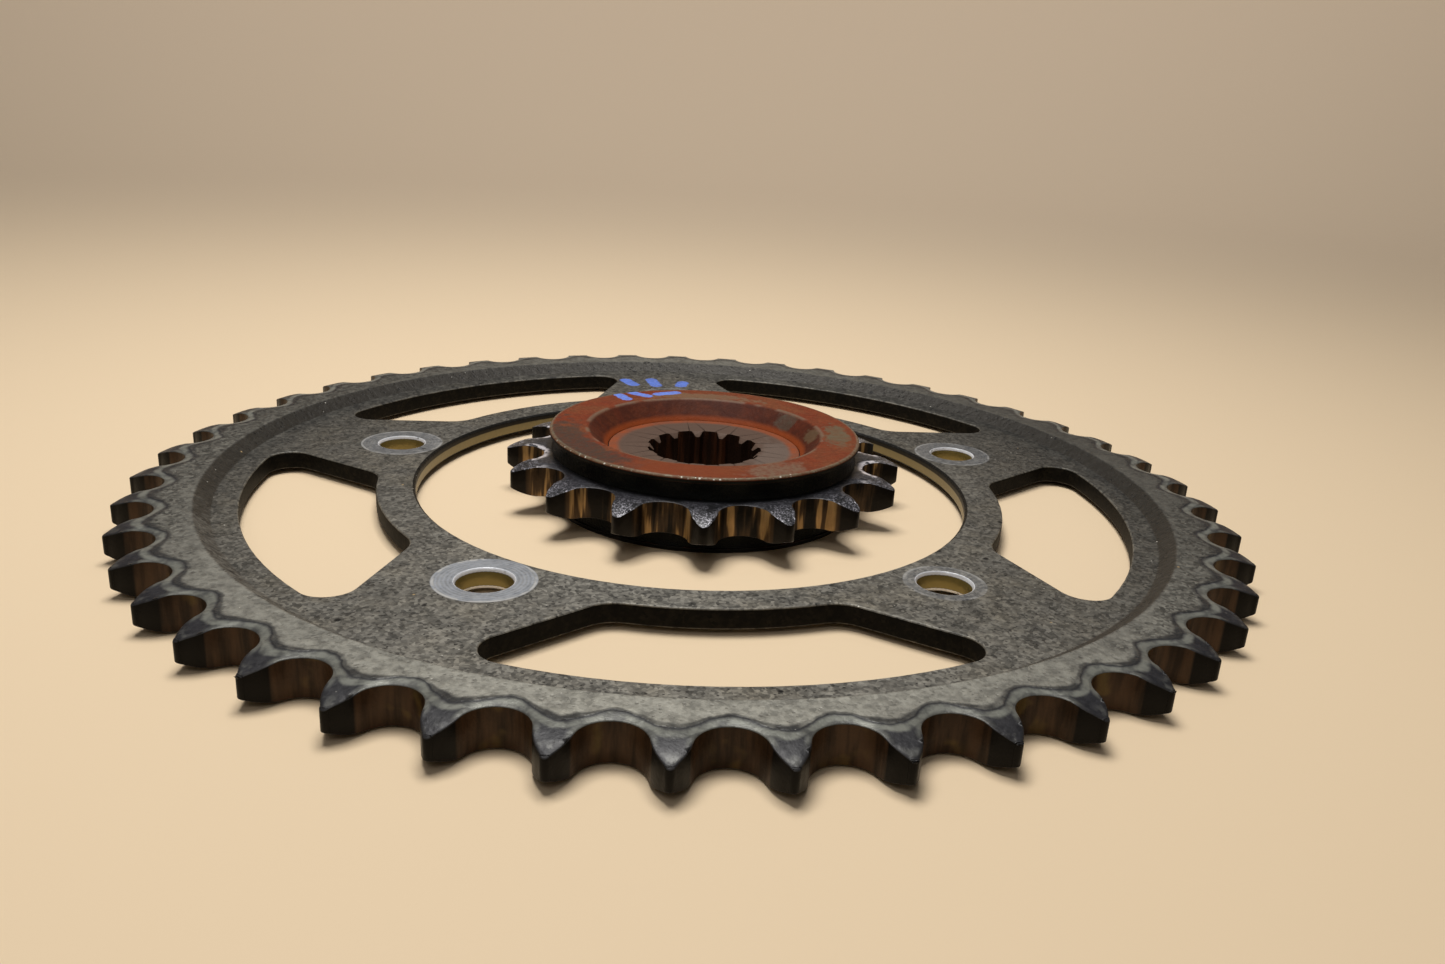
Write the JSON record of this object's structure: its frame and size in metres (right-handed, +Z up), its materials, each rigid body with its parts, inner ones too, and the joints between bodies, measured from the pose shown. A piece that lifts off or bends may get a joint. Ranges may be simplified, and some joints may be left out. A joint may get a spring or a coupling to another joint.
{
  "type": "chain sprocket set",
  "caption": "Roller chain sprocket set: large stepped wheel sprocket lying flat, with a small splined output sprocket between rubber cushion rings resting in its bore.",
  "frame": {"origin": "axis of the wheel sprocket at the plane the set lies on, under the rim's lower face", "axes": "+Z up along the wheel sprocket's axis; -Y towards the viewer; +X to the viewer's right"},
  "size_m": [0.2339, 0.2338, 0.0158],
  "materials": {
    "rear_steel": "dark pitted steel with burnished roller seats",
    "front_steel": "oil-stained forged steel with worn tooth flanks",
    "cushion_rubber": "oily black moulded rubber",
    "rusted_plate": "steel with a film of orange rust, worn grey in places",
    "plate_steel": "dull steel with light rust"
  },
  "bodies": {
    "wheel_sprocket": {"rear_sprocket": "rear_steel"},
    "output_sprocket": {"front_sprocket": "front_steel", "upper_cushion": "cushion_rubber", "upper_plate": "rusted_plate", "lower_cushion": "cushion_rubber", "lower_plate": "plate_steel"}
  },
  "joints": [
    {"name": "front_lift", "type": "slide", "parent": "wheel_sprocket", "child": "output_sprocket", "axis": [0, 0, 1], "range_m": [0, 0.03]}
  ]
}
